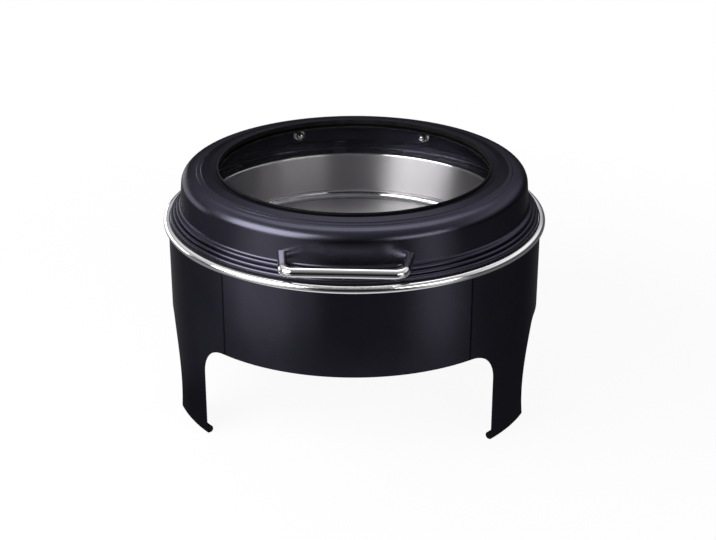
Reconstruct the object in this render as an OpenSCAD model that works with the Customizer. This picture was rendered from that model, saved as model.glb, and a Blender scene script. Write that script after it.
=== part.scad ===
// Round chafing dish: a black sheet stand on four legs, a water pan with a bright rim,
// a food pan, and a hinged lid with a window and a bar handle.
// Millimetres, +Z up, origin on the floor under the middle, handle towards -Y, hinge at +Y.

/* [Overall] */
// outer diameter of the bright rim
rim_d = 420; // [400:2:450]
// height of the skirt from its lower edge to the middle of the rim
drum_h = 98; // [90:1:112]
// clear height under the skirt, between the legs
leg_clear = 109; // [98:1:125]
// height of the window's edge above the middle of the rim
lid_h = 57; // [52:1:66]

/* [Stand] */
// thickness of the stand's sheet
stand_t = 1.5; // [1.2:0.1:2]
// width of a leg along the curve
leg_w = 63; // [54:1:70]
// direction of a front leg's middle, in degrees from the front
leg_angle = 57.6; // [56:0.2:59]
// corner radius where a leg meets the front or rear skirt
fillet_front = 34; // [28:1:36]
// corner radius where a leg meets the side skirt
fillet_side = 16; // [10:1:20]
// radius of the curve along a leg's edge beside the side opening
leg_curve = 118; // [110:2:140]
// height at which a leg is narrowest
leg_waist = 32; // [24:1:40]
// radius of the bead along the foot of a leg
foot_r = 4.2; // [3.6:0.1:4.6]

/* [Pans] */
// thickness of the pans' sheet
pan_t = 1.2; // [1:0.1:1.5]
// radius of the rim's round section
rim_tube = 4.4; // [4:0.1:4.8]
// inside depth of the food pan
pan_depth = 55; // [45:1:62]
// radius of the food pan's mouth, measured in from the rim's outside
pan_inset = 38; // [36:1:46]

/* [Lid] */
// thickness of the lid's sheet
lid_t = 1.2; // [1:0.1:1.4]
// width of the solid ring from the rim's outside in to the window's edge
win_inset = 60; // [57:0.5:68]
// thickness of the window glass
glass_t = 4; // [3:0.5:5]
// number of studs that hold the clamp ring under the glass
studs = 8; // [6:1:12]

/* [Handle] */
// how far the handle and the hinge barrel stand out beyond the rim
overhang = 17.6; // [17.4:0.2:24]
// length of the handle over its bends
handle_len = 130; // [116:1:140]
// diameter of the handle bar
bar_d = 10; // [9:0.5:11]
// height of the handle bar above the middle of the rim
handle_rise = 25; // [24:0.5:30]
// splay of the handle's legs in degrees
splay = 7; // [2:1:9]

/* [Hinge] */
// length of the hinge barrel
barrel_len = 127; // [110:1:140]
// width of one hinge arm
arm_w = 23; // [18:1:26]
// height of the hinge bolts above the middle of the rim
bolt_rise = 31.5; // [30:0.5:36]
// diameter of the hinge pin
pin_d = 6; // [5:0.5:7]

/* [Hidden] */
$fa = 3;
$fs = 0.4;

// heights
rim_z = leg_clear + drum_h;
stand_top = rim_z - rim_tube - 0.3;

// stand
rim_r = rim_d / 2;
stand_r = rim_r - 5;
stand_in = stand_r - stand_t;
leg_half = leg_w / 2 / stand_r * 180 / PI;
leg_front = leg_angle - leg_half;
leg_rear = leg_angle + leg_half;
side_half = stand_r * cos(leg_rear);
side_turn = leg_curve - side_half;
seam_deg = 0.85;
seam = leg_front - fillet_front / stand_r * 180 / PI - seam_deg;
seam_gap_deg = 0.05;
foot_z = foot_r - 0.4;
foot_reach = leg_waist - foot_z;
foot_rear = acos((sqrt(leg_curve * leg_curve - foot_reach * foot_reach) - side_turn) / stand_r);
notch_w = barrel_len + 4;
notch_z = rim_z - 20;
strap_t = 1.5;
strap_deg = 4;
strap_end = 6;
ring_in = rim_r - 14;
ring_t = 1.5;
ring_h = 13;
ring_top = stand_top - 1;
strap_low = leg_clear + strap_end;
strap_high = ring_top - ring_h - 2;
ring_cut = 20;

// pans
rim_c = rim_r - rim_tube;
wall_in = 18;
wall_r = rim_r - wall_in;
ledge_z = rim_z + 3.6;
pan_floor = leg_clear + 6;
seal_t = 1;
seal_w = 3;
mouth_r = rim_r - pan_inset;
mouth_z = rim_z + 8.6;
hem_r = rim_r - 12.8;
hem_z = rim_z + 7.2;
bead_r = 1.5;
bead_up = 0.9;
base_z = mouth_z - pan_depth;

// lid
win_r = rim_r - win_inset;
win_z = rim_z + lid_h;
crest_r = win_r + 8;
crest_z = win_z + 1;
round_r = 12.5;
round_end = 5;
shoulder_in = 20.6;
shoulder_drop = 3;
lip_r = rim_r - shoulder_in - round_r;
lip_z = win_z - shoulder_drop - round_r;
ring_tilt = atan2(crest_z - lip_z, lip_r - crest_r) - asin(round_r / norm([lip_r - crest_r, crest_z - lip_z]));
fall = tan(ring_tilt);
skirt_r = rim_r - 17;
skirt_z = rim_z + 17;
cove_r = 3.4;
cove_end = 262;
cove_z = skirt_z - cove_r * sin(cove_end);
foot_in = 1.8;
wall_low_r = skirt_r - foot_in;
wall_low_z = cove_z - cove_r * sin(round_end);
cove_c = wall_low_r + cove_r * cos(round_end);
wall_slope = (lip_r + round_r * cos(round_end) - wall_low_r) / (lip_z + round_r * sin(round_end) - wall_low_z);
lid_foot = ledge_z + seal_t + 0.3;
step_w = 3.2;
step_r = [1.4, 2.2, 2.9, 3.2, 2.9];
step_d = [0.1, 0.5, 1.4, 2.4, 0];
step_last = len(step_r) - 1;
step_z = [skirt_z, skirt_z - 4.3, skirt_z - 8];
glass_r = crest_r - 0.5;
glass_top = win_z - lid_t - 1.5;
glass_z = glass_top - glass_t;
seal_in = win_r - 1.8;
seal_gap = 0.1;
seal_rise = 2.2;
seal_lip = (win_r - seal_gap - seal_in) / 2;
seal_out = glass_r + 3.3;
seal_z = glass_z - 1.5;
clamp_t = 1.2;
stud_r = crest_r + 9.5;
clamp_r = stud_r + 4.5;

// handle
bar_r = bar_d / 2;
bend = 11;
bar_y = rim_r + overhang - bar_r;
bar_z = rim_z + handle_rise;
bar_half = handle_len / 2 - bend - bar_r;
lap = 1;
seat = 0.02;
bend_thin = 0.1;
screw_r = 2.5;

// hinge
barrel_r = 8;
hinge_y = rim_r + overhang - barrel_r;
hinge_up = 9;
hinge_z = rim_z + hinge_up;
pin_r = pin_d / 2;
run = 0.05;
cart_r = 6.5;
barrel_half = barrel_len / 2;
bush_t = 2;
bush_len = 9;
arm_in = barrel_half + bush_t + 1;
arm_out = arm_in + arm_w;
bolt_r = 3;
bolt_z = rim_z + bolt_rise;
bolt_deg = asin((arm_in + arm_out) / 2 / skirt_r);
pad_t = 5.5;
washer_t = 3;
nut_t = 5;
plate_drop = 18;
plate_z = rim_z - plate_drop;
plate_t = 4;
web_t = 5;
web_in = 0.6;
flange_t = 3;
flange_h = 22;
tie_drop = 30;
tie_z = rim_z - tie_drop;
tie_end = 6;
tie_head_r = 4.2;
tie_head_t = 3;
tie_nut_w = 8;
tie_nut_t = 4.2;
tie_gap = 0.1;

black = [0.07, 0.07, 0.08];
steel = [0.72, 0.73, 0.75];
bright = [0.85, 0.86, 0.88];
rubber = [0.04, 0.04, 0.045];

// underside of the lid's top ring at radius r, outside its crest
function under(r) = ring_at(r) - lid_t;

// outer radius of the lid's sloped wall at height z
function wall_at(z) = wall_low_r + wall_slope * (z - wall_low_z);

// height of the lid's top ring at radius r, outside its crest and before its ridges
function ring_at(r) = crest_z - fall * (r - crest_r);

// points on an arc from a0 to a1 degrees
function arc(cx, cz, r, a0, a1, n) =
    [for (i = [0:n]) [cx + r * cos(a0 + (a1 - a0) * i / n), cz + r * sin(a0 + (a1 - a0) * i / n)]];

// a list of points in the opposite order
function back(p) = [for (i = [len(p) - 1:-1:0]) p[i]];

// radius and rise of each corner of the shallow ridges on the lid's top ring
ridges = [
    [crest_r, 0],
    [crest_r + 9.1, 0.05],
    [crest_r + 9.9, -0.5],
    [crest_r + 14.1, 0],
    [crest_r + 14.7, -0.45]
];

// outline of the ring from the window's edge over the crest and the ridges
function ring_lines() = concat([[win_r, win_z]], [for (p = ridges) [p[0], ring_at(p[0]) + p[1]]]);

// stepped skirt at the foot of the lid, set inwards by o: each step has a tread, a round edge and a riser
function skirt_lines(o) = [for (i = [0:2], k = [o > 0 ? 1 : 0:step_last]) [
    skirt_r + step_w * i + step_r[k] - o,
    i == 2 && k == step_last ? lid_foot : step_z[i + (k == step_last ? 1 : 0)] - step_d[k] - o
]];

// the lid's outline below its top ring, set inwards by o: round shoulder, wall, hollow foot, steps
function side_lines(o) = concat(
    [[lip_r, ring_at(lip_r) - o]],
    arc(lip_r, lip_z, round_r - o, 84 - ring_tilt, round_end, 13),
    arc(cove_c, cove_z, cove_r + o, 180 + round_end, cove_end, 4),
    skirt_lines(o)
);

lid_out = concat(ring_lines(), side_lines(0));
lid_in = concat([[win_r, win_z - lid_t], [crest_r, crest_z - lid_t]], side_lines(lid_t));

// a sector of a ring, angles in degrees from the front towards +X
module sector(r0, r1, z0, z1, a0, a1) {
    rotate([0, 0, a0 - 90])
        rotate_extrude(angle = a1 - a0)
            translate([r0, z0])
                square([r1 - r0, z1 - z0]);
}

// a cylinder along X
module rod_x(r, x0, x1, y, z) {
    translate([x0, y, z])
        rotate([0, 90, 0])
            cylinder(r = r, h = x1 - x0);
}

// a cylinder that points outwards from the upright axis, in the direction a from the front
module rod_out(r, d0, d1, z, a) {
    rotate([0, 0, a - 90])
        translate([d0, 0, z])
            rotate([0, 90, 0])
                cylinder(r = r, h = d1 - d0);
}

// a six-sided nut that points outwards from the upright axis
module hex_out(af, d0, d1, z, a) {
    rotate([0, 0, a - 90])
        translate([d0, 0, z])
            rotate([0, 90, 0])
                linear_extrude(height = d1 - d0)
                    hexagon(af);
}

module hexagon(af) {
    polygon([for (i = [0:5]) af / sqrt(3) * [cos(60 * i), sin(60 * i)]]);
}

// what lies inside the lid's outer face
module lid_core() {
    rotate_extrude()
        polygon(concat([[0, win_z]], lid_out, [[0, lid_foot]]));
}

// the lid's sloped wall as a plain cone, set inwards by o
module wall_cone(o) {
    low = skirt_z + 0.5;
    high = lip_z;
    translate([0, 0, low])
        cylinder(r1 = wall_at(low) - o, r2 = wall_at(high) - o, h = high - low, $fn = 720);
}

// opening beside a leg whose edge lies at the angle a; side is +1 when the opening comes before it
module corner_cut(a, side, r, far) {
    reach = r / 2;
    turn = asin(reach / stand_r);
    rotate([0, 0, a - side * turn - 90])
        translate([stand_in - 12, 0, 0])
            rotate([90, 0, 90])
                linear_extrude(height = 30)
                    mirror([side > 0 ? 1 : 0, 0])
                        corner_shape(-reach, r, far);
}

// flat shape of that opening, with a round upper corner, from its edge at x0 out to far
module corner_shape(x0, r, far) {
    difference() {
        translate([x0, -1])
            square([far, leg_clear + 1]);
        difference() {
            translate([x0 - 1, leg_clear - r])
                square([r + 1, r + 1]);
            translate([x0 + r, leg_clear - r])
                circle(r = r);
        }
    }
}

// right half of the outline of the wide opening between the two legs of one side, from the floor up
function side_lines_up(r, up) =
    let (out = sqrt((leg_curve - r) * (leg_curve - r) - up * up), tip = asin(up / (leg_curve - r)))
    concat(
        arc(-side_turn, leg_waist, leg_curve, -asin((leg_waist + 1) / leg_curve), tip, 20),
        arc(out - side_turn, leg_clear - r, r, tip + (90 - tip) / 6, 90, 5)
    );

// flat shape of that opening, with bowed sides and round upper corners
module side_shape() {
    edge = side_lines_up(fillet_side, leg_clear - fillet_side - leg_waist);
    polygon(concat(edge, [for (p = back(edge)) [-p[0], p[1]]]));
}

// one side of the stand with a front leg and a rear leg, drawn on the +X side
module leg_panel() {
    difference() {
        sector(stand_in, stand_r, foot_z, stand_top, seam + seam_gap_deg, 180 - seam - seam_gap_deg);
        corner_cut(leg_front, 1, fillet_front, 2 * fillet_front);
        corner_cut(180 - leg_front, -1, fillet_front, 2 * fillet_front);
        translate([stand_in * 0.7, 0, 0])
            rotate([90, 0, 90])
                linear_extrude(height = stand_r)
                    side_shape();
    }
}

module leg_panel_right() {
    color(black)
        leg_panel();
}

module leg_panel_left() {
    color(black)
        mirror([1, 0, 0])
            leg_panel();
}

module front_skirt() {
    color(black)
        sector(stand_in, stand_r, leg_clear, stand_top, seam_gap_deg - seam, seam - seam_gap_deg);
}

// the rear panel has a notch at the top for the hinge bracket
module rear_skirt() {
    color(black)
        difference() {
            sector(stand_in, stand_r, leg_clear, stand_top, 180 + seam_gap_deg - seam, 180 + seam - seam_gap_deg);
            translate([-notch_w / 2, stand_r / 2, notch_z])
                cube([notch_w, stand_r, drum_h]);
        }
}

// a strap behind the seam at the angle a
module strap(a) {
    color(black)
        sector(stand_in - strap_t, stand_in, strap_low, strap_high, a - strap_deg, a + strap_deg);
}

module strap_front_right() {
    strap(seam);
}

module strap_front_left() {
    strap(-seam);
}

module strap_rear_right() {
    strap(180 - seam);
}

module strap_rear_left() {
    strap(180 + seam);
}

// angle ring inside the top of the stand, open at the back for the hinge bracket
module support_ring() {
    color(black)
        rotate([0, 0, 90 + ring_cut])
            rotate_extrude(angle = 360 - 2 * ring_cut)
                union() {
                    translate([stand_in - ring_t, ring_top - ring_h])
                        square([ring_t, ring_h]);
                    translate([ring_in, ring_top - ring_t])
                        square([stand_in - ring_in, ring_t]);
                }
}

// bead along the foot of the leg between two angles, flat underneath, grooved for the sheet
module foot(a0, a1) {
    color(rubber)
        rotate([0, 0, a0 - 90])
            rotate_extrude(angle = a1 - a0)
                difference() {
                    translate([stand_r - foot_r, foot_z])
                        circle(r = foot_r);
                    translate([stand_r - 3 * foot_r, -foot_r])
                        square([4 * foot_r, foot_r]);
                    translate([stand_in, foot_z])
                        square([2 * stand_t, 2 * foot_r]);
                }
}

module foot_front_right() {
    foot(leg_front, foot_rear);
}

module foot_front_left() {
    foot(-foot_rear, -leg_front);
}

module foot_rear_right() {
    foot(180 - foot_rear, 180 - leg_front);
}

module foot_rear_left() {
    foot(180 + leg_front, 180 + foot_rear);
}

// round-cornered pan wall from the floor's middle up to a top corner, set inwards by o
function tub(floor_z, r_low, r_high, z_high, corner, o) = concat(
    [[0, floor_z + o]],
    arc(r_low - corner, floor_z + corner, corner - o, -90, r_high > r_low ? -2 : 0, 8),
    [[r_high - o, z_high]]
);

// the angles, from the front, of the bolts that tie the hinge bracket to the water pan
tie_deg = [for (x = [-0.74, -0.25, 0.25, 0.74]) 180 + asin(x * barrel_half / wall_r)];

module water_pan() {
    color(steel)
        difference() {
            rotate_extrude()
                difference() {
                    union() {
                        polygon(concat(
                            tub(pan_floor, wall_r, wall_r, ledge_z - pan_t, 16, 0),
                            [[rim_c, ledge_z - pan_t], [rim_c, ledge_z], [wall_r - pan_t, ledge_z]],
                            back(tub(pan_floor, wall_r, wall_r, ledge_z - pan_t, 16, pan_t))
                        ));
                    }
                    translate([rim_c, rim_z])
                        circle(r = rim_tube);
                    translate([rim_c, rim_z - 2 * rim_tube])
                        square([4 * rim_tube, 4 * rim_tube]);
                }
            for (a = tie_deg)
                rod_out(screw_r + 0.1, wall_r - 8, wall_r + 8, tie_z, a);
        }
}

module rim() {
    color(bright)
        rotate_extrude()
            translate([rim_c, rim_z])
                circle(r = rim_tube);
}

module rim_seal() {
    color(rubber)
        rotate_extrude()
            translate([rim_c - rim_tube + 1 - seal_w, ledge_z])
                square([seal_w, seal_t]);
}

// pan with a sloped flange, and a hem with a round bead that rests on the water pan's ledge
module food_pan() {
    low_r = mouth_r - 5;
    color(steel)
        rotate_extrude()
            polygon(concat(
                tub(base_z - pan_t, low_r + pan_t, mouth_r + pan_t, mouth_z - 2 * pan_t, 11, 0),
                [[mouth_r + 2 * pan_t, mouth_z - pan_t - 0.2]],
                [[hem_r - 2.6, hem_z - pan_t], [hem_r - 2.6, ledge_z], [hem_r, ledge_z]],
                arc(hem_r - bead_r, hem_z + bead_up - bead_r, bead_r, 0, 150, 7),
                arc(mouth_r + 2.4, mouth_z - 2.4, 2.4, 86, 178, 6),
                back(tub(base_z - pan_t, low_r + pan_t, mouth_r + pan_t, mouth_z - 2 * pan_t, 11, pan_t))
            ));
}

// barrel, web and plate under the rim, and a curved flange on the water pan's wall
module hinge_bracket() {
    web_y = hinge_y - barrel_r + web_in;
    deep = plate_z - 2 * flange_h;
    color(black)
        difference() {
            union() {
                rod_x(barrel_r, -barrel_half, barrel_half, hinge_y, hinge_z);
                translate([-barrel_half, web_y, plate_z])
                    cube([2 * barrel_half, web_t, hinge_z - plate_z]);
                translate([-barrel_half, wall_r * 0.9, plate_z])
                    cube([2 * barrel_half, web_y + lap - wall_r * 0.9, plate_t]);
                intersection() {
                    sector(wall_r - lap, wall_r + flange_t, plate_z - flange_h, plate_z + plate_t, 150, 210);
                    translate([-barrel_half, 0, deep])
                        cube([2 * barrel_half, 2 * rim_r, 4 * flange_h]);
                }
            }
            translate([0, 0, deep])
                cylinder(r = wall_r, h = 4 * flange_h);
            rod_x(cart_r, -barrel_half - 1, barrel_half + 1, hinge_y, hinge_z);
            for (a = tie_deg)
                rod_out(screw_r + 0.1, wall_r - 8, wall_r + 8, tie_z, a);
        }
}

// bolts that tie the bracket to the water pan, each with a nut inside the pan
module bracket_bolts() {
    inner = wall_r - pan_t;
    head = wall_r + flange_t;
    color(steel)
        for (a = tie_deg) {
            rod_out(screw_r, inner - tie_end, head + lap, tie_z, a);
            rod_out(tie_head_r, head, head + tie_head_t, tie_z, a);
            hex_out(tie_nut_w, inner - tie_gap - tie_nut_t, inner - tie_gap, tie_z, a);
        }
}

// hydraulic cartridge that slows the pin, on the side s
module damper(s) {
    color(steel)
        difference() {
            mirror([s > 0 ? 0 : 1, 0, 0])
                rod_x(cart_r, 4, barrel_half - bush_len - 1, hinge_y, hinge_z);
            rod_x(pin_r + run, -barrel_len, barrel_len, hinge_y, hinge_z);
        }
}

module damper_right() {
    damper(1);
}

module damper_left() {
    damper(-1);
}

// flanged bush at one end of the barrel
module bush(s) {
    color([0.8, 0.78, 0.7])
        mirror([s > 0 ? 0 : 1, 0, 0])
            difference() {
                union() {
                    rod_x(cart_r, barrel_half - bush_len, barrel_half + bush_t / 2, hinge_y, hinge_z);
                    rod_x(barrel_r, barrel_half, barrel_half + bush_t, hinge_y, hinge_z);
                }
                rod_x(pin_r + run, 0, barrel_len, hinge_y, hinge_z);
            }
}

module bush_right() {
    bush(1);
}

module bush_left() {
    bush(-1);
}

// axis of one handle leg: a cylinder from d0 to d1 behind the bend's end
module leg_rod(s, r, d0, d1) {
    translate([s * (bar_half + bend * cos(splay)), bend - bar_y - bend * sin(splay), bar_z])
        rotate([0, 0, -s * splay])
            rotate([-90, 0, 0])
                translate([0, 0, d0])
                    cylinder(r = r, h = d1 - d0);
}

// distance along a handle leg's axis from the bend's end to the lid's wall
leg_x = bar_half + bend * cos(splay);
leg_y = bar_y - bend + bend * sin(splay);
leg_b = leg_y * cos(splay) - leg_x * sin(splay);
leg_hit = leg_b - sqrt(leg_b * leg_b - leg_x * leg_x - leg_y * leg_y + wall_at(bar_z) * wall_at(bar_z));

module lid_shell() {
    color(black)
        difference() {
            rotate_extrude()
                polygon(concat(lid_out, back(lid_in)));
            for (s = [-1, 1]) {
                leg_rod(s, screw_r + 0.1, leg_hit - 12, leg_hit + 16);
                rod_out(bolt_r + 0.1, skirt_r - 20, skirt_r + 12, bolt_z, 180 + s * bolt_deg);
            }
        }
}

// soft ring that holds the edge of the glass, with a round lip that stands up through the window
module window_seal() {
    color(rubber)
        difference() {
            rotate_extrude()
                polygon(concat(
                    [[seal_in, seal_z], [seal_out, seal_z], [seal_out, under(seal_out)]],
                    [[crest_r, under(crest_r)], [win_r, win_z - lid_t], [win_r - seal_gap, win_z - lid_t]],
                    arc(seal_in + seal_lip, win_z + seal_rise - seal_lip, seal_lip, 0, 180, 6)
                ));
            translate([0, 0, glass_z])
                cylinder(r = glass_r, h = glass_t);
        }
}

module window_glass() {
    color([0.8, 0.85, 0.86, 0.35])
        translate([0, 0, glass_z])
            cylinder(r = glass_r, h = glass_t);
}

// clamp ring under the seal, with an upper flange on studs under the lid's ring
module glass_clamp() {
    color(black)
        difference() {
            rotate_extrude()
                polygon([
                    [seal_in + 1, seal_z],
                    [seal_in + 1, seal_z - clamp_t],
                    [seal_out + clamp_t, seal_z - clamp_t],
                    [seal_out + clamp_t, under(seal_out + clamp_t) - clamp_t],
                    [clamp_r, under(clamp_r) - clamp_t],
                    [clamp_r, under(clamp_r)],
                    [seal_out, under(seal_out)],
                    [seal_out, seal_z]
                ]);
            at_studs()
                translate([0, 0, seal_z])
                    cylinder(r = 2.1, h = 20);
        }
}

// space above a cone that lies the distance drop under the lid's ring
module above_ring(drop) {
    r0 = stud_r - 8;
    r1 = stud_r + 8;
    rotate_extrude()
        polygon([
            [r0, under(r0) - drop],
            [r1, under(r1) - drop],
            [r1, win_z + 5],
            [r0, win_z + 5]
        ]);
}

// one upright stud or nut blank at each stud position
module at_studs() {
    for (i = [0:studs - 1])
        rotate([0, 0, 360 / studs * (i + 0.5)])
            translate([stud_r, 0, 0])
                children();
}

// studs under the lid's ring, each with its nut below the clamp ring
module clamp_nuts() {
    low = under(stud_r) - clamp_t - 3;
    color(steel)
        union() {
            difference() {
                at_studs()
                    translate([0, 0, low - 1])
                        cylinder(r = 2, h = 8);
                above_ring(0);
            }
            difference() {
                at_studs()
                    translate([0, 0, low])
                        linear_extrude(height = 6)
                            hexagon(6.6);
                above_ring(clamp_t);
            }
        }
}

// bar with two bends and two legs, cut to the lid's wall and bored for its screws
module handle() {
    color(bright)
        union() {
            rod_x(bar_r, -bar_half - lap, bar_half + lap, -bar_y, bar_z);
            for (s = [-1, 1]) {
                translate([s * bar_half, bend - bar_y, bar_z])
                    rotate([0, 0, s > 0 ? -90 : 180 + splay])
                        rotate_extrude(angle = 90 - splay)
                            translate([bend, 0])
                                circle(r = bar_r - bend_thin);
                difference() {
                    leg_rod(s, bar_r, -lap, leg_hit + 2 * bar_r);
                    wall_cone(0);
                    leg_rod(s, screw_r, leg_hit - 14, leg_hit + 4 * bar_r);
                }
            }
        }
}

// screw from inside the lid, with a washer shaped to the wall
module handle_screw(s) {
    color(steel)
        union() {
            intersection() {
                leg_rod(s, 6.5, leg_hit - 8, leg_hit + 8);
                wall_cone(lid_t + seat);
            }
            leg_rod(s, screw_r, leg_hit - 13, leg_hit + 9);
            leg_rod(s, 4.4, leg_hit + 8 - lap, leg_hit + 11);
        }
}

module handle_screw_right() {
    handle_screw(1);
}

module handle_screw_left() {
    handle_screw(-1);
}

module hinge_pin() {
    color(steel)
        rod_x(pin_r, -arm_out, arm_out, hinge_y, hinge_z);
}

// cap on one end of the pin
module pin_cap(s) {
    color(black)
        rod_x(6, s > 0 ? arm_out : -arm_out - 2, s > 0 ? arm_out + 2 : -arm_out, hinge_y, hinge_z);
}

module pin_cap_right() {
    pin_cap(1);
}

module pin_cap_left() {
    pin_cap(-1);
}

// knuckle on the pin, a neck over the rim, and a pad on the lid's wall
module hinge_arm(s) {
    pad_w = arm_w - 2;
    neck_low = skirt_z + 3.5;
    neck_top = bolt_z - 7;
    color(black)
        difference() {
            union() {
                mirror([s > 0 ? 0 : 1, 0, 0]) {
                    rod_x(barrel_r, arm_in, arm_out, hinge_y, hinge_z);
                    translate([arm_in, 0, 0])
                        rotate([90, 0, 90])
                            linear_extrude(height = arm_w)
                                polygon([
                                    [hinge_y, hinge_z + barrel_r],
                                    [skirt_r - 3, neck_top],
                                    [skirt_r - 24, neck_top],
                                    [skirt_r - 24, neck_low],
                                    [skirt_r - 3, neck_low],
                                    [hinge_y - 6.6, hinge_z - 4.4]
                                ]);
                }
                rotate([0, 0, 90 - s * bolt_deg])
                    translate([skirt_r - 8, -pad_w / 2, neck_low])
                        cube([wall_at(bolt_z) + pad_t - skirt_r + 8, pad_w, bolt_z + 9.5 - neck_low]);
            }
            lid_core();
            rod_x(pin_r, -2 * arm_out, 2 * arm_out, hinge_y, hinge_z);
            rod_out(bolt_r + 0.1, skirt_r - 20, skirt_r + 12, bolt_z, 180 - s * bolt_deg);
        }
}

module hinge_arm_right() {
    hinge_arm(1);
}

module hinge_arm_left() {
    hinge_arm(-1);
}

// bolt through an arm's pad and the lid's wall, with a shaped washer and a dome nut inside
module hinge_bolt(s) {
    a = 180 - s * bolt_deg;
    pad = wall_at(bolt_z) + pad_t;
    washer = wall_at(bolt_z) - lid_t - washer_t;
    nut = washer - nut_t;
    color(bright)
        union() {
            rod_out(5, pad, pad + 4, bolt_z, a);
            rod_out(bolt_r, nut - lap, pad + lap, bolt_z, a);
            intersection() {
                rod_out(6.5, washer, pad, bolt_z, a);
                wall_cone(lid_t + seat);
            }
            hex_out(10, nut, washer + lap, bolt_z, a);
            intersection() {
                rotate([0, 0, a - 90])
                    translate([nut, 0, bolt_z])
                        sphere(r = 4.8);
                rod_out(6, nut - 8, nut + lap, bolt_z, a);
            }
        }
}

module hinge_bolt_right() {
    hinge_bolt(1);
}

module hinge_bolt_left() {
    hinge_bolt(-1);
}

front_skirt();
rear_skirt();
leg_panel_left();
leg_panel_right();
strap_front_left();
strap_front_right();
strap_rear_left();
strap_rear_right();
support_ring();
foot_front_left();
foot_front_right();
foot_rear_left();
foot_rear_right();
water_pan();
rim();
rim_seal();
food_pan();
hinge_bracket();
bracket_bolts();
damper_left();
damper_right();
bush_left();
bush_right();
lid_shell();
window_seal();
window_glass();
glass_clamp();
clamp_nuts();
handle();
handle_screw_left();
handle_screw_right();
hinge_pin();
pin_cap_left();
pin_cap_right();
hinge_arm_left();
hinge_arm_right();
hinge_bolt_left();
hinge_bolt_right();
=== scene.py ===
import math

import bpy
from mathutils import Matrix, Vector

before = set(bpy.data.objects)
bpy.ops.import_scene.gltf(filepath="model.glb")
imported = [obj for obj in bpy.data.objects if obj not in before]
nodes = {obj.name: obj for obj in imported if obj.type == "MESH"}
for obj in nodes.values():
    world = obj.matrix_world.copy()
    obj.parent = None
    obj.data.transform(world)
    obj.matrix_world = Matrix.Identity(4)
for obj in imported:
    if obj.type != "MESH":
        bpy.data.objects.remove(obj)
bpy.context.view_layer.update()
scene = bpy.context.scene

# Camera, fitted to the photograph's 716 x 540 frame

PHOTO_WIDTH = 716
FOCAL_PIXELS = 1537.0
SENSOR = 36.0
RIM_HEIGHT = 0.207
CAMERA_OUT = 1.5836
CAMERA_UP = 0.6304
CAMERA_TURN = math.radians(2.8)
CAMERA_YAW = math.radians(0.14)
CAMERA_PITCH = math.radians(23.84)
CLIP_START = 0.05
CLIP_END = 60

camera = bpy.data.objects.new("camera", bpy.data.cameras.new("camera"))
scene.collection.objects.link(camera)
camera.location = (
    CAMERA_OUT * math.sin(CAMERA_TURN),
    -CAMERA_OUT * math.cos(CAMERA_TURN),
    RIM_HEIGHT + CAMERA_UP,
)
camera.rotation_euler = (math.pi / 2 - CAMERA_PITCH, 0, CAMERA_TURN - CAMERA_YAW)
camera.data.sensor_width = SENSOR
camera.data.lens = FOCAL_PIXELS / PHOTO_WIDTH * SENSOR
camera.data.clip_start = CLIP_START
camera.data.clip_end = CLIP_END
scene.camera = camera
scene.view_settings.view_transform = "Standard"


# Small helpers for node trees

NOISE_LOW = 0.3
NOISE_HIGH = 0.7
MIX_SHARE = 0
MIX_FIRST = 6
MIX_SECOND = 7
MIX_COLOUR = 2


def new_tree(name):
    """A fresh material with its tree, and the Principled shader in it."""
    material = bpy.data.materials.new(name)
    material.use_nodes = True
    tree = material.node_tree
    return material, tree, tree.nodes["Principled BSDF"]


def add(tree, kind, **values):
    """Adds a node; in_NAME sets the input of that name, and any other key the node's own property."""
    node = tree.nodes.new(kind)
    for key, value in values.items():
        if key.startswith("in_"):
            node.inputs[key.removeprefix("in_").title()].default_value = value
        else:
            setattr(node, key, value)
    return node


def math_node(tree, operation, *values):
    """The result of a Math node; a value is a number or another node's output."""
    node = add(tree, "ShaderNodeMath", operation=operation)
    for socket, value in zip(node.inputs, values):
        if isinstance(value, (int, float)):
            socket.default_value = value
        else:
            tree.links.new(value, socket)
    return node.outputs[0]


def vector_node(tree, operation, *values):
    """A Vector Math node; a value is three numbers or another node's output."""
    node = add(tree, "ShaderNodeVectorMath", operation=operation)
    for socket, value in zip(node.inputs, values):
        if isinstance(value, tuple):
            socket.default_value = value
        else:
            tree.links.new(value, socket)
    return node


def mix_colours(tree, share, first, second):
    """Mixes two colours by a share from 0 to 1; a colour is three numbers or another node's output."""
    node = add(tree, "ShaderNodeMix", data_type="RGBA")
    tree.links.new(share, node.inputs[MIX_SHARE])
    for index, colour in ((MIX_FIRST, first), (MIX_SECOND, second)):
        if isinstance(colour, tuple):
            node.inputs[index].default_value = (*colour, 1)
        else:
            tree.links.new(colour, node.inputs[index])
    return node.outputs[MIX_COLOUR]


def mix_shaders(tree, share, first, second):
    """Mixes the shaders of two nodes by a share from 0 to 1, and gives the mixing node."""
    node = add(tree, "ShaderNodeMixShader")
    for socket, value in zip(node.inputs, (share, first.outputs[0], second.outputs[0])):
        tree.links.new(value, socket)
    return node


def noise(tree, vector, scale, detail):
    """The height of a noise texture over the vector."""
    node = add(tree, "ShaderNodeTexNoise", in_scale=scale, in_detail=detail)
    tree.links.new(vector, node.inputs["Vector"])
    return node.outputs[0]


def spread(tree, value, low, high, start=NOISE_LOW, end=NOISE_HIGH):
    """Low where the value is at its start or before, high at its end or past it, and even between."""
    node = add(tree, "ShaderNodeMapRange")
    for socket, number in zip(node.inputs[1:], (start, end, low, high)):
        socket.default_value = number
    tree.links.new(value, node.inputs[0])
    return node.outputs[0]


def place(tree):
    """Where a point lies in the row frame, in metres, as it is at rest."""
    return add(tree, "ShaderNodeTexCoord").outputs["Object"]


def split(tree, vector):
    """The three parts of a vector."""
    node = add(tree, "ShaderNodeSeparateXYZ")
    tree.links.new(vector, node.inputs[0])
    return tuple(node.outputs)


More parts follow.
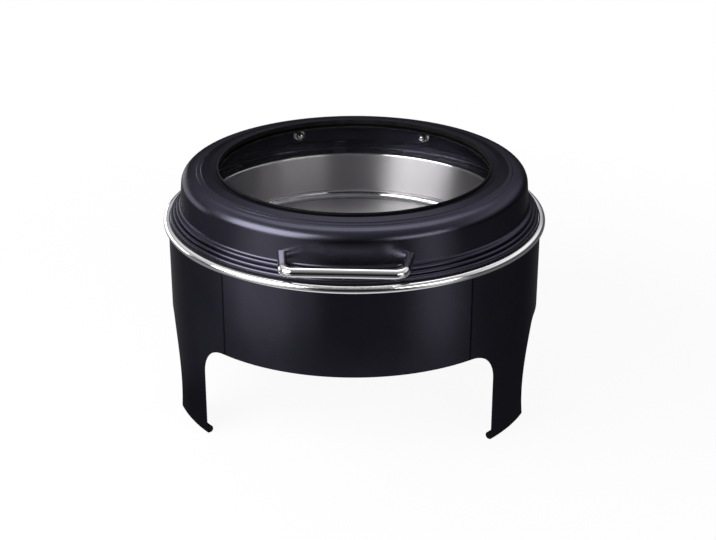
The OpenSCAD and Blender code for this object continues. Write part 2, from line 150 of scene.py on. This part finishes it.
def from_axis(tree, x, y):
    """How far a point lies from the upright axis."""
    squares = [math_node(tree, "MULTIPLY", value, value) for value in (x, y)]
    return math_node(tree, "SQRT", math_node(tree, "ADD", *squares))


def around(tree, across, along):
    """Coordinates for marks that run round the axis: across in marks per metre, along per radian."""
    x, y, z = split(tree, place(tree))
    join = add(tree, "ShaderNodeCombineXYZ")
    tree.links.new(math_node(tree, "MULTIPLY", from_axis(tree, x, y), across), join.inputs[0])
    tree.links.new(math_node(tree, "MULTIPLY", z, across), join.inputs[1])
    turn = math_node(tree, "ARCTAN2", y, x)
    tree.links.new(math_node(tree, "MULTIPLY", turn, along), join.inputs[2])
    return join.outputs[0]


def paint(tree, shader, cloud, colours):
    """Lets the shader's colour run between two colours with a noise."""
    share = spread(tree, cloud, 0, 1)
    tree.links.new(mix_colours(tree, share, *colours), shader.inputs["Base Color"])


def roughen(tree, shader, cloud, low, high):
    """Lets the shader's roughness run from low to high with a noise."""
    tree.links.new(spread(tree, cloud, low, high), shader.inputs["Roughness"])


def bump(tree, shader, height, strength, distance):
    """Feeds a height to the shader's normal."""
    node = add(tree, "ShaderNodeBump", in_strength=strength, in_distance=distance)
    tree.links.new(height, node.inputs["Height"])
    tree.links.new(node.outputs[0], shader.inputs["Normal"])


# Places on the dish that the materials follow, in metres. INWARD values are cosines, and the SEAM
# and BAND shade values are the share of the colour that is left where shade is painted.

EDGE_FADE = 0.001
INWARD_FULL = -0.85
INWARD_NONE = -0.6
SEAM_TURN = math.radians(38.44)
SEAM_WIDTHS = (0.0006, 0.0019)
SEAM_JOINT_AND_SHADE = 0.42
DRUM_TOP = 0.2025
BAND_EDGE = (0.1669, 0.1679)
BAND_PAINTED_SHADE = 0.5
LID_TOP = 0.25
FLANGE_START = (0.1718, 0.1723)
CORNER_TOP = (0.1696, 0.1726)
FLOOR_END = (0.1608, 0.1618)


def inward(tree):
    """1 on a face that looks at the upright axis, the inside of a shell, and otherwise 0."""
    coordinates = add(tree, "ShaderNodeTexCoord")
    flat = vector_node(tree, "MULTIPLY", coordinates.outputs["Object"], (1, 1, 0))
    radial = vector_node(tree, "NORMALIZE", flat.outputs[0])
    facing = vector_node(tree, "DOT_PRODUCT", radial.outputs[0], coordinates.outputs["Normal"])
    return spread(tree, facing.outputs["Value"], 1, 0, INWARD_FULL, INWARD_NONE)


def seam_joint_and_shade(tree):
    """Dark along the four upright seams of the stand's panels, a dark joint line with painted shade of the
    groove, and 1 elsewhere.
    """
    x, y, z = split(tree, place(tree))
    sides = [math_node(tree, "ABSOLUTE", value) for value in (x, y)]
    turn = math_node(tree, "ARCTAN2", *sides)
    off = math_node(tree, "ABSOLUTE", math_node(tree, "SUBTRACT", turn, SEAM_TURN))
    away = math_node(tree, "MULTIPLY", off, from_axis(tree, x, y))
    line = spread(tree, away, SEAM_JOINT_AND_SHADE, 1, *SEAM_WIDTHS)
    above = spread(tree, z, 0, 1, DRUM_TOP, DRUM_TOP + EDGE_FADE)
    return math_node(tree, "MAXIMUM", line, above)


def painted_window_band_shade(tree):
    """Painted shade: darker on the band of the lid's top that runs round the window, standing in for the
    darker reflection there, and 1 elsewhere.
    """
    x, y, z = split(tree, place(tree))
    band = spread(tree, from_axis(tree, x, y), BAND_PAINTED_SHADE, 1, *BAND_EDGE)
    below = spread(tree, z, 1, 0, LID_TOP, LID_TOP + EDGE_FADE)
    return math_node(tree, "MAXIMUM", band, below)


# Materials

COAT_OUTSIDE = ((0.0539, 0.0524, 0.0706), (0.0636, 0.0618, 0.0826))
COAT_INSIDE_PAINTED_SHADE = ((0.0125, 0.0125, 0.0205), (0.0155, 0.0155, 0.0250))
COAT_ROUGHNESS = (0.25, 0.29)
COAT_INSIDE_DULLER = 0.08
COAT_EDGE_TINT = (0.50, 0.50, 0.50, 1)
COAT_GRAIN = 0.35


def black_coat():
    """Satin blue-black coat on sheet: fine orange peel, slow change in gloss, duller inside; painted shade
    darkens it inside the shells, along the seams and on the band round the window.
    """
    material, tree, shader = new_tree("black_coat")
    where = place(tree)
    slow = noise(tree, where, scale=14, detail=3)
    fine = noise(tree, where, scale=750, detail=2)
    grain = noise(tree, where, scale=2600, detail=1)
    share = spread(tree, slow, 0, 1)
    inside = inward(tree)
    outer = mix_colours(tree, share, *COAT_OUTSIDE)
    # Painted shade: inside the shells the coat takes a darker copy of its outside colour.
    inner_painted_shade = mix_colours(tree, share, *COAT_INSIDE_PAINTED_SHADE)
    shaded = vector_node(tree, "SCALE", mix_colours(tree, inside, outer, inner_painted_shade))
    # Painted shade along the seams and on the band round the window scales the base colour.
    shade = math_node(tree, "MULTIPLY", seam_joint_and_shade(tree), painted_window_band_shade(tree))
    tree.links.new(shade, shaded.inputs["Scale"])
    tree.links.new(shaded.outputs[0], shader.inputs["Base Color"])
    duller = math_node(tree, "MULTIPLY", inside, COAT_INSIDE_DULLER)
    roughness = math_node(tree, "ADD", spread(tree, slow, *COAT_ROUGHNESS), duller)
    tree.links.new(roughness, shader.inputs["Roughness"])
    shader.inputs["Metallic"].default_value = 1
    shader.inputs["Specular Tint"].default_value = COAT_EDGE_TINT
    height = math_node(tree, "ADD", fine, math_node(tree, "MULTIPLY", grain, COAT_GRAIN))
    bump(tree, shader, height, strength=0.08, distance=0.0004)
    return material


PAN_SATIN_COLOURS = ((0.300, 0.291, 0.298), (0.336, 0.326, 0.334))
PAN_HIGHLIGHT_COLOURS = ((0.800, 0.785, 0.785), (0.870, 0.855, 0.855))
PAN_SATIN = 0.36
PAN_BRIGHT = 0.13
PAN_CORNER_HIGHLIGHT = 0.35
PAN_LINES = 0.004
PAN_STRETCH = 0.92
QUARTER_TURN = 0.25


def pan_steel():
    """Stainless steel of the pans, spun satin, and smoother on corner and flange, where a brighter colour
    is painted highlight: fine marks run round.
    """
    material, tree, shader = new_tree("pan_steel")
    lines = noise(tree, around(tree, across=1800, along=4), scale=1, detail=2)
    cloud = noise(tree, place(tree), scale=16, detail=2)
    x, y, z = split(tree, place(tree))
    flange = spread(tree, from_axis(tree, x, y), 0, 1, *FLANGE_START)
    low = spread(tree, z, 1, 0, *CORNER_TOP)
    corner = math_node(tree, "MULTIPLY", low, spread(tree, z, 0, 1, *FLOOR_END))
    share = spread(tree, cloud, 0, 1)
    satin = mix_colours(tree, share, *PAN_SATIN_COLOURS)
    # Painted highlight: the flange and the bottom corner take a far brighter colour than the satin body.
    polished_highlight = mix_colours(tree, share, *PAN_HIGHLIGHT_COLOURS)
    bright = math_node(tree, "MAXIMUM", flange, math_node(tree, "MULTIPLY", low, PAN_CORNER_HIGHLIGHT))
    tree.links.new(mix_colours(tree, bright, satin, polished_highlight), shader.inputs["Base Color"])
    polish = math_node(tree, "MAXIMUM", flange, corner)
    finish = spread(tree, polish, PAN_SATIN, PAN_BRIGHT, 0, 1)
    roughness = math_node(tree, "ADD", finish, spread(tree, lines, -PAN_LINES, PAN_LINES))
    tree.links.new(roughness, shader.inputs["Roughness"])
    shader.inputs["Metallic"].default_value = 1
    shader.inputs["Anisotropic"].default_value = PAN_STRETCH
    shader.inputs["Anisotropic Rotation"].default_value = QUARTER_TURN
    tangent = add(tree, "ShaderNodeTangent", direction_type="RADIAL", axis="Z")
    tree.links.new(tangent.outputs[0], shader.inputs["Tangent"])
    bump(tree, shader, lines, strength=0.001, distance=0.0001)
    return material


def turned_steel(name, colours, low, high):
    """Bright steel with faint marks that run round the dish; low and high bound its roughness."""
    material, tree, shader = new_tree(name)
    lines = noise(tree, around(tree, across=1500, along=9), scale=1, detail=2)
    paint(tree, shader, noise(tree, place(tree), scale=30, detail=3), colours)
    roughen(tree, shader, lines, low, high)
    shader.inputs["Metallic"].default_value = 1
    bump(tree, shader, lines, strength=0.001, distance=0.0001)
    return material


def bright_steel():
    """Polished bright steel with faint marks from the polishing wheel."""
    colours = ((0.84, 0.82, 0.80), (0.93, 0.91, 0.89))
    return turned_steel("bright_steel", colours, low=0.10, high=0.14)


def rim_steel():
    """Satin bright steel of the rolled rim, with marks that run along it."""
    colours = ((0.95, 0.93, 0.905), (0.985, 0.965, 0.94))
    return turned_steel("rim_steel", colours, low=0.14, high=0.16)


def bolt_steel():
    """Plain steel of small fasteners, a little duller and marked."""
    material, tree, shader = new_tree("bolt_steel")
    where = place(tree)
    marks = noise(tree, where, scale=900, detail=3)
    cloud = noise(tree, where, scale=120, detail=2)
    paint(tree, shader, cloud, ((0.66, 0.66, 0.66), (0.82, 0.815, 0.80)))
    roughen(tree, shader, marks, low=0.2, high=0.36)
    shader.inputs["Metallic"].default_value = 1
    bump(tree, shader, marks, strength=0.06, distance=0.0002)
    return material


RUBBER_SHINE = 0.06


def rubber():
    """Matt black rubber with a fine moulded grain."""
    material, tree, shader = new_tree("rubber")
    where = place(tree)
    grain = noise(tree, where, scale=1400, detail=3)
    cloud = noise(tree, where, scale=60, detail=3)
    paint(tree, shader, cloud, ((0.0055, 0.0055, 0.0060), (0.0110, 0.0110, 0.0115)))
    roughen(tree, shader, cloud, low=0.55, high=0.7)
    shader.inputs["Specular IOR Level"].default_value = RUBBER_SHINE
    bump(tree, shader, grain, strength=0.15, distance=0.0003)
    return material


def bush_plastic():
    """Cream moulded plastic of the bearing bushes."""
    material, tree, shader = new_tree("bush_plastic")
    where = place(tree)
    grain = noise(tree, where, scale=1800, detail=2)
    cloud = noise(tree, where, scale=180, detail=3)
    paint(tree, shader, cloud, ((0.56, 0.52, 0.42), (0.64, 0.60, 0.50)))
    roughen(tree, shader, cloud, low=0.36, high=0.48)
    bump(tree, shader, grain, strength=0.08, distance=0.0002)
    return material


LOW_GLOSS_IOR = 1.02


def window_glass():
    """Clear toughened glass with a low-gloss face, so that the pan below stays easy to see."""
    material, tree, shader = new_tree("window_glass")
    faint = noise(tree, place(tree), scale=9, detail=2)
    paint(tree, shader, faint, ((0.975, 0.972, 0.976), (0.988, 0.986, 0.989)))
    roughen(tree, shader, faint, low=0.0, high=0.02)
    shader.inputs["Transmission Weight"].default_value = 1
    shader.inputs["IOR"].default_value = LOW_GLOSS_IOR
    return material


FINISHES = {
    black_coat: (
        "front_skirt", "rear_skirt", "leg_panel_left", "leg_panel_right",
        "strap_front_left", "strap_front_right", "strap_rear_left", "strap_rear_right",
        "support_ring", "hinge_bracket", "lid_shell", "glass_clamp",
        "hinge_arm_left", "hinge_arm_right", "pin_cap_left", "pin_cap_right",
    ),
    pan_steel: ("water_pan", "food_pan"),
    rim_steel: ("rim",),
    bright_steel: ("handle", "hinge_bolt_left", "hinge_bolt_right"),
    bolt_steel: (
        "bracket_bolts", "damper_left", "damper_right", "clamp_nuts",
        "handle_screw_left", "handle_screw_right", "hinge_pin",
    ),
    rubber: (
        "foot_front_left", "foot_front_right", "foot_rear_left", "foot_rear_right",
        "rim_seal", "window_seal",
    ),
    bush_plastic: ("bush_left", "bush_right"),
    window_glass: ("window_glass",),
}
for make, names in FINISHES.items():
    finish = make()
    for name in names:
        mesh = nodes[name].data
        mesh.materials.clear()
        mesh.materials.append(finish)
nodes["window_glass"].visible_shadow = False


# Stage: a pale floor, a white surround, soft boxes

NO_BOUNCE = 0.5


def first_look(tree):
    """1 for a ray that comes from the camera, also through glass, before any reflection."""
    path = add(tree, "ShaderNodeLightPath")
    straight = math_node(tree, "LESS_THAN", path.outputs["Glossy Depth"], NO_BOUNCE)
    through = math_node(tree, "MULTIPLY", path.outputs["Is Transmission Ray"], straight)
    return math_node(tree, "MAXIMUM", path.outputs["Is Camera Ray"], through)


def mirrored(tree):
    """1 for a ray that was mirrored or went through glass, and otherwise 0."""
    path = add(tree, "ShaderNodeLightPath")
    return math_node(
        tree, "MAXIMUM", path.outputs["Is Glossy Ray"], path.outputs["Is Transmission Ray"]
    )


# What the camera sees of the floor, and then what mirrors see of it

WHITE = (1, 1, 1)
FLOOR_COLOUR = (0.9, 0.9, 0.9)
SEEN_WHITE = 0.93
SEEN_REACH = (0.4, 0.9)
MIRRORED_TINT = (0.98, 0.985, 1.06)
MIRRORED_NEAR = 0.85
NEAR_FRONT = (-0.22, -0.12)
NEAR_REACH = (0.28, 0.42)
MIRRORED_FAR = 0.115
MIRRORED_LEFT = 0.23
LEFT_BACK = (-0.866, 0.5, 0)
LEFT_REACH = (0.16, 0.23)


def pale_floor():
    """A pale floor that the camera sees as white, with the object's soft shadow on it.

    Mirrors see it dark, with a bright patch close in front of the dish and mid grey at the left.
    """
    material = bpy.data.materials.new("pale_floor")
    material.use_nodes = True
    tree = material.node_tree
    tree.nodes.clear()
    where = place(tree)
    x, y = split(tree, where)[:2]
    reach = from_axis(tree, x, y)
    look = first_look(tree)
    front = spread(tree, y, MIRRORED_NEAR, 0, *NEAR_FRONT)
    near = math_node(tree, "MULTIPLY", front, spread(tree, reach, 1, 0, *NEAR_REACH))
    left = vector_node(tree, "DOT_PRODUCT", where, LEFT_BACK).outputs["Value"]
    far = spread(tree, left, MIRRORED_FAR, MIRRORED_LEFT, *LEFT_REACH)
    shine = math_node(tree, "MAXIMUM", near, far)
    glow = add(tree, "ShaderNodeEmission")
    tree.links.new(mix_colours(tree, look, MIRRORED_TINT, WHITE), glow.inputs["Color"])
    tree.links.new(math_node(tree, "MAXIMUM", look, shine), glow.inputs["Strength"])
    seen = math_node(tree, "MULTIPLY", look, spread(tree, reach, SEEN_WHITE, 1, *SEEN_REACH))
    share = math_node(tree, "MAXIMUM", seen, mirrored(tree))
    diffuse = add(tree, "ShaderNodeBsdfDiffuse", in_color=(*FLOOR_COLOUR, 1))
    surface = mix_shaders(tree, share, diffuse, glow)
    tree.links.new(surface.outputs[0], add(tree, "ShaderNodeOutputMaterial").inputs[0])
    return material


FLOOR_SIDE = 1.8
FLOOR_FRONT = -0.95
FLOOR_BACK = 1.8
floor_mesh = bpy.data.meshes.new("floor")
floor_mesh.from_pydata(
    [
        (-FLOOR_SIDE, FLOOR_FRONT, 0),
        (FLOOR_SIDE, FLOOR_FRONT, 0),
        (FLOOR_SIDE, FLOOR_BACK, 0),
        (-FLOOR_SIDE, FLOOR_BACK, 0),
    ],
    [], [(0, 1, 2, 3)],
)
floor = bpy.data.objects.new("floor", floor_mesh)
floor.data.materials.append(pale_floor())
scene.collection.objects.link(floor)

# The surround: the fill lights the object, and the room is what mirrors see

FILL = 0.11
FILL_COLOUR = (0.97, 0.98, 1.0)
ROOM_DARK = 0.036
ROOM_BRIGHT = 0.90
ROOM_LOW = 0.08
ROOM_HEIGHTS = (0.17, 0.57)


def studio():
    """White for the camera, a weak even fill, and in mirrors a room that is brighter high up and behind."""
    world = bpy.data.worlds.new("studio")
    world.use_nodes = True
    tree = world.node_tree
    tree.nodes.clear()
    fill = add(tree, "ShaderNodeBackground", in_color=(*FILL_COLOUR, 1), in_strength=FILL)
    white = add(tree, "ShaderNodeBackground", in_color=(*WHITE, 1), in_strength=1)
    room = add(tree, "ShaderNodeBackground", in_strength=1)
    y, z = split(tree, add(tree, "ShaderNodeTexCoord").outputs["Generated"])[1:]
    behind = spread(tree, y, ROOM_DARK, ROOM_BRIGHT, -1, 1)
    high = spread(tree, z, ROOM_LOW, 1, *ROOM_HEIGHTS)
    level = math_node(tree, "MULTIPLY", behind, high)
    grey = add(tree, "ShaderNodeCombineColor")
    for socket, share in zip(grey.inputs, MIRRORED_TINT):
        tree.links.new(math_node(tree, "MULTIPLY", level, share), socket)
    tree.links.new(grey.outputs[0], room.inputs["Color"])
    unseen = mix_shaders(tree, mirrored(tree), fill, room)
    sky = mix_shaders(tree, first_look(tree), unseen, white)
    tree.links.new(sky.outputs[0], add(tree, "ShaderNodeOutputWorld").inputs[0])
    return world


scene.world = studio()

# Lamps and cards: distances in metres from the aim, angles in degrees

AIM = Vector((0, 0, 0.2))
LAMP_OUT = 1.4
BACK_OUT = 1.5
CARD_LOW = -22.5
CARD_LOW_OUT = 0.51
CARD_HIGH = 12
CARD_HIGH_OUT = 0.8
CARD_STEP = 0.01


def spot(turn, lift, out):
    """A point at an angle from the front, in degrees towards +X, lifted above the horizon of the aim."""
    a = math.radians(turn)
    e = math.radians(lift)
    return AIM + out * Vector((math.cos(e) * math.sin(a), -math.cos(e) * math.cos(a), math.sin(e)))


def soft_box(name, start, end, width, brightness):
    """A strip of light from one point to another, turned to the object; brightness 1 mirrors as white."""
    along = end - start
    middle = (start + end) / 2
    lamp = bpy.data.lights.new(name, "AREA")
    lamp.shape = "RECTANGLE"
    lamp.size = along.length
    lamp.size_y = width
    lamp.energy = brightness * math.pi * along.length * width
    box = bpy.data.objects.new(name, lamp)
    scene.collection.objects.link(box)
    x = along.normalized()
    z = middle - AIM
    z = (z - z.dot(x) * x).normalized()
    box.matrix_world = Matrix.Translation(middle) @ Matrix((x, z.cross(x), z)).transposed().to_4x4()


def card(name, turn, behind, width, brightness):
    """A weak strip that leans outwards from the floor, which the drum mirrors as a soft upright band."""
    start = spot(turn, CARD_LOW, CARD_LOW_OUT + behind)
    end = spot(turn, CARD_HIGH, CARD_HIGH_OUT + behind)
    soft_box(name, start, end, width, brightness)


soft_box(
    "left_light", spot(-26, 27, LAMP_OUT), spot(-82, 27, LAMP_OUT), width=0.8, brightness=7.2
)
soft_box(
    "right_light", spot(26, 17, LAMP_OUT), spot(60, 17, LAMP_OUT), width=0.34, brightness=3.9
)
soft_box(
    "back_light", spot(140, 55, BACK_OUT), spot(220, 55, BACK_OUT), width=0.9, brightness=1.6
)
soft_box(
    "left_back_light", spot(-100, 2, LAMP_OUT), spot(-150, 4, LAMP_OUT), width=0.45, brightness=2.3
)
soft_box(
    "right_back_light", spot(75, 22, LAMP_OUT), spot(150, 22, LAMP_OUT), width=0.4, brightness=0.36
)
card("left_card", turn=-42, behind=0, width=0.5, brightness=0.36)
card("left_card_middle", turn=-43, behind=CARD_STEP, width=0.26, brightness=0.36)
card("right_card", turn=45, behind=0, width=0.28, brightness=0.245)
card("right_card_middle", turn=44, behind=CARD_STEP, width=0.14, brightness=0.30)
